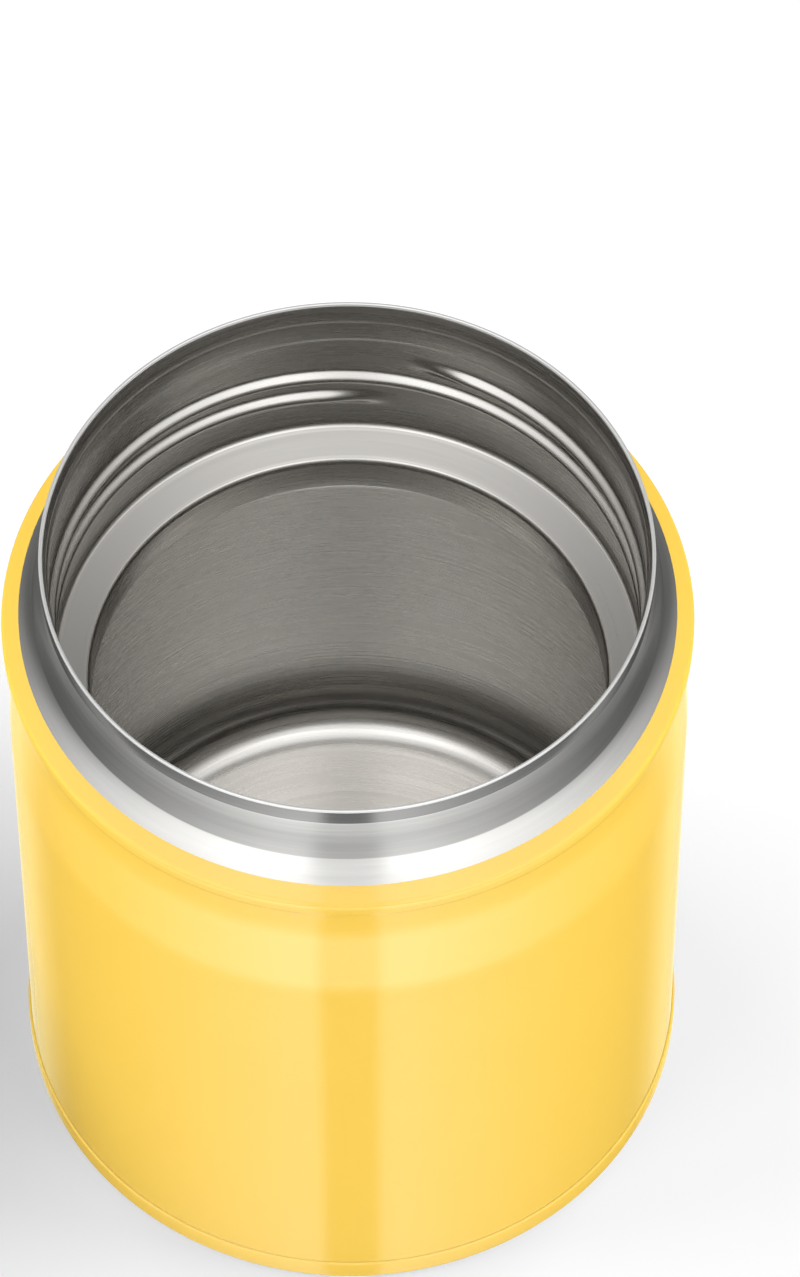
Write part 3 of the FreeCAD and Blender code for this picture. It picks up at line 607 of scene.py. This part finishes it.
def makeShell():
    wall, top = shell["wall"], jar["rimTop"] - shell["wall"]
    neck = [
        (shell["footRadius"], shell["footHeight"], shell["footRound"]),
        (shell["neckRadius"], shell["neckHeight"], shell["neckRound"]),
        (jar["rimRadius"] - shell["bandLean"], shell["bandLow"], shell["bandRound"]),
        (jar["rimRadius"], top),
    ]
    neckInside = [
        (jar["rimRadius"] - wall, top),
        (jar["rimRadius"] - wall - shell["bandLean"], shell["bandLow"]),
        (shell["neckRadius"] - wall, shell["neckHeight"], shell["neckRound"]),
        (shell["footRadius"] - wall, shell["footHeight"] - shell["footDrop"],
         shell["footRound"] - wall),
    ]
    corners = wallSide(shell["coat"]) + neck + neckInside + wallSide(shell["coat"] + wall)[::-1]
    steel = turnedPiece("steelShell", corners, "jar", "brushed_steel", ["outer_shell"])
    # Painted shade: the band under the lip gets the darker steel.
    recolourFaces(steel, (shell["neckRadius"] - shell["bandReach"], shell["neckRadius"]),
              (shell["bandLow"], top), "band_shade_steel")
    film = wallSide(0) + wallSide(shell["coat"] - shell["coatGap"])[::-1]
    turnedPiece("paintCoat", film, "jar", "yellow_paint")


# The base cap holds the wall in its skirt. Its foot ring surrounds the recessed floor, with the
# port in the middle through which the air was drawn out.
base = {"wall": 0.4, "height": 3.85, "recessRadius": 41.22, "recess": 3.4, "port": 1.6}


def makeBase():
    outer, wall = jar["baseRadius"], base["wall"]
    turnedPiece("baseCap", [
        (base["port"], base["recess"]),
        (base["recessRadius"], base["recess"], 1.2),
        (base["recessRadius"], 0, 1.2),
        (outer, 0, 0.6),
        (outer, base["height"], 0.28),
        (outer - wall, base["height"], 0.1),
        (outer - wall, wall, 0.25),
        (base["recessRadius"] + wall, wall, 0.8),
        (base["recessRadius"] + wall, base["recess"] + wall, 1.5),
        (base["port"], base["recess"] + wall),
    ], "jar", "yellow_paint", ["outer_bottom"])


# The vessel: lip, a shallow step under it, rolled thread, ledge, throat and food space.
vessel = {
    "wall": 0.4,
    "lip": 0.47, "lipRound": 0.22, "lipLow": 0.7, "flareLow": 2.2,
    # The lip's paler steel is a painted highlight.
    "lipHighlightDepth": 0.6,                              # how far down the lip's finish reaches
    "step": 0.22, "stepHigh": 112.1, "stepLow": 108.5, "stepSlope": 0.5,
    "ledge": 88.0, "ledgeFall": 2.0, "throatRadius": 35.6, "throatLow": 79.6,
    "bodyRadius": 42.9, "bodyTop": 71.6, "seam": 21.0, "floor": 10.6,
    "shoulderShift": 0.2, "ledgeShift": 0.35,    # keep the wall's thickness where it slopes
    "ledgeMargin": 0.5,                          # the ledge's finish stops short of its corners
    "threadRoom": (92.6, 105.4),                 # heights between which the wall is cut finely
    "threadCuts": 72, "backCuts": 24,
}
thread = {
    "starts": (80.0, 260.0),  # degrees round the axis at which the two ridges begin
    "low": 94.4, "lead": 9.2, "turn": 360.0,
    "half": 1.75,             # half of a ridge's width
    "rise": 1.0,
    "runOut": 16.0,           # degrees over which an end fades
}
ridgeCrown = 0.8              # below one makes a ridge blunter


# How far a thread stands out at a place on the wall, for ridges that climb to the left.
def threadRise(angle, height, screw):
    rise = 0.0
    for start in screw["starts"]:
        turned = (angle - start) % 360
        for along in (turned, turned + 360):
            if along > screw["turn"]:
                continue
            across = (height - screw["low"] - screw["lead"] * along / 360) / screw["half"]
            if abs(across) >= 1:
                continue
            end = min(1, along / screw["runOut"], (screw["turn"] - along) / screw["runOut"])
            fade = end * end * (3 - 2 * end)
            rise = max(rise, fade * (0.5 + 0.5 * math.cos(math.pi * across)) ** ridgeCrown)
    return rise * screw["rise"]


# Presses a thread into the walls between two heights: each point moves along its radius.
def pressThread(bm, room, screw, outward):
    for vert in bm.verts:
        height = vert.co.z / mm
        if not room[0] < height < room[1]:
            continue
        radius = vert.co.xy.length
        angle = math.degrees(math.atan2(vert.co.y, vert.co.x))
        moved = radius + outward * threadRise(angle, height, screw) * mm
        vert.co.x *= moved / radius
        vert.co.y *= moved / radius


def makeVessel():
    wall, mouth, top = vessel["wall"], jar["mouthRadius"], jar["rimTop"]
    lip, throat, body = jar["rimRadius"] - vessel["lip"], vessel["throatRadius"], vessel["bodyRadius"]
    ledgeEdge = vessel["ledge"] - vessel["ledgeFall"]
    low, high = vessel["threadRoom"]
    bm = drawOutline([
        (jar["rimRadius"], top, vessel["lipRound"]),
        (lip, top, vessel["lipRound"]),
        (lip, top - vessel["lipLow"], 1.2),
        (mouth, top - vessel["flareLow"], 2.0),
        (mouth, vessel["stepHigh"] + vessel["stepSlope"], 0.6),
        (mouth - vessel["step"], vessel["stepHigh"], 0.6),
        (mouth - vessel["step"], vessel["stepLow"], 0.6),
        (mouth, vessel["stepLow"] - vessel["stepSlope"], 0.6),
        (mouth, high),
        (mouth, low),
        (mouth, vessel["ledge"], 1.6),
        (throat, ledgeEdge, 1.3),
        (throat, vessel["throatLow"], 1.3),
        (body, vessel["bodyTop"], 7.0),
        (body, vessel["seam"]),
        (body + wall, vessel["seam"]),
        (body + wall, vessel["bodyTop"] + vessel["shoulderShift"], 6.6),
        (throat + wall, vessel["throatLow"] + vessel["shoulderShift"], 1.7),
        (throat + wall, ledgeEdge - vessel["ledgeShift"], 0.9),
        (mouth + wall, vessel["ledge"] - vessel["ledgeShift"], 2.0),
        (mouth + wall, low),
        (mouth + wall, high),
        (mouth + wall, top - wall),
        (jar["rimRadius"], top - wall),
    ])
    divideRun(bm, (mouth, high), (mouth, low), vessel["threadCuts"])
    divideRun(bm, (mouth + wall, high), (mouth + wall, low), vessel["backCuts"])
    spinOutline(bm, jar["steps"])
    pressThread(bm, vessel["threadRoom"], thread, -1)
    steel = finishPiece(bm, "steelVessel", "jar", "brushed_steel", ["inner_vessel"], "inside_steel")
    margin = vessel["ledgeMargin"]
    # Painted highlight on the lip, by paler steel.
    recolourFaces(steel, (mouth, jar["rimRadius"] + 1), (top - vessel["lipHighlightDepth"], top + 1), "lip_highlight_steel")
    # Painted shade on the ledge, by darker steel.
    recolourFaces(steel, (throat + margin, mouth - margin), (ledgeEdge, vessel["ledge"] + margin),
              "ledge_shade_steel")


def makeVesselFloor():
    body, wall = vessel["bodyRadius"], vessel["wall"]
    turnedPiece("vesselFloor", [
        (body, vessel["seam"]),
        (body, vessel["floor"], 7.5),
        (0, vessel["floor"]),
        (0, vessel["floor"] - wall),
        (body + wall, vessel["floor"] - wall, 7.9),
        (body + wall, vessel["seam"]),
    ], "jar", "brushed_steel", ["inner_bottom"], "inside_steel")


# The stopper is a moulded cup with a plug, a tube for the vent stem and the outer thread.
stopper = {
    "bore": 2.68, "tube": 5.2, "tubeTop": 118.2,
    "plug": 34.8, "bottom": 84.1, "seat": 90.8, "radius": 39.5, "top": 116.2, "wall": 2.1,
    "bead": 0.5, "beadLow": 87.32, "beadHigh": 88.52,
    "threadRoom": (94.7, 107.9), "threadCuts": 52,
}
stopperThread = {
    "starts": (80.0, 260.0), "low": 96.7, "lead": 9.2, "turn": 345.0,
    "half": 1.3, "rise": 0.85, "runOut": 14.0,
}


def makeStopper():
    plug, outer, wall, seat = stopper["plug"], stopper["radius"], stopper["wall"], stopper["seat"]
    low, high = stopper["threadRoom"]
    bm = drawOutline([
        (stopper["bore"], stopper["bottom"]),
        (plug, stopper["bottom"], 2.6),
        (plug, stopper["beadLow"]),
        (plug + stopper["bead"], (stopper["beadLow"] + stopper["beadHigh"]) / 2),
        (plug, stopper["beadHigh"]),
        (plug, seat),
        (outer, seat, 0.63),
        (outer, low),
        (outer, high),
        (outer, stopper["top"]),
        (outer - wall, stopper["top"]),
        (outer - wall, seat + wall, 1.05),
        (plug - wall, seat + wall, 1.05),
        (plug - wall, stopper["bottom"] + wall, 1.05),
        (stopper["tube"], stopper["bottom"] + wall),
        (stopper["tube"], stopper["tubeTop"]),
        (stopper["bore"], stopper["tubeTop"]),
    ])
    divideRun(bm, (outer, low), (outer, high), stopper["threadCuts"])
    spinOutline(bm, lid["steps"])
    pressThread(bm, stopper["threadRoom"], stopperThread, 1)
    layAside(bm)
    finishPiece(bm, "stopperCup", "stopper_unit", "cream_plastic", ["stopper"])


def makeSpring():
    bm = bmesh.new()
    bm.from_mesh(nodes["vent_spring"].data)
    bmesh.ops.remove_doubles(bm, verts=bm.verts[:], dist=1e-6)
    spring = finishPiece(bm, "ventSpring", "stopper_unit", "spring_steel", ["vent_spring"])
    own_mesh(spring)


makeShell()
makeBase()
makeVessel()
makeVesselFloor()
print("jar turned")
makeStopper()
print("stopper threaded")
makeSpring()
print("vent spring set")


# CAD nodes that keep their mesh get the finish of their slot.
def dressNodes():
    for subpart in frame["record"]["subparts"]:
        node = nodes[subpart["node"]]
        node.data.materials.clear()
        node.data.materials.append(finishes[subpart["material_slot"]])


# The photographed jar stands alone on a white floor, and its steel shows no yellow. So neither
# the lid nor the paint shows in the gloss, and no piece tints or dims what stands near it.
def keepReflectionsPlain():
    jarNodes = frame["record"]["behaviour"]["bodies"]["jar"]
    plain = ["stopperCup", "ventSpring", "paintCoat", "baseCap"]
    plain += [node.name for name, node in nodes.items() if name not in jarNodes]
    for piece in bpy.data.objects:
        if piece.type == "MESH" and piece.name != "paleFloor":
            piece.visible_diffuse = False
            piece.visible_glossy = piece.name not in plain


dressNodes()
keepReflectionsPlain()
print("inner pieces and lid dressed")
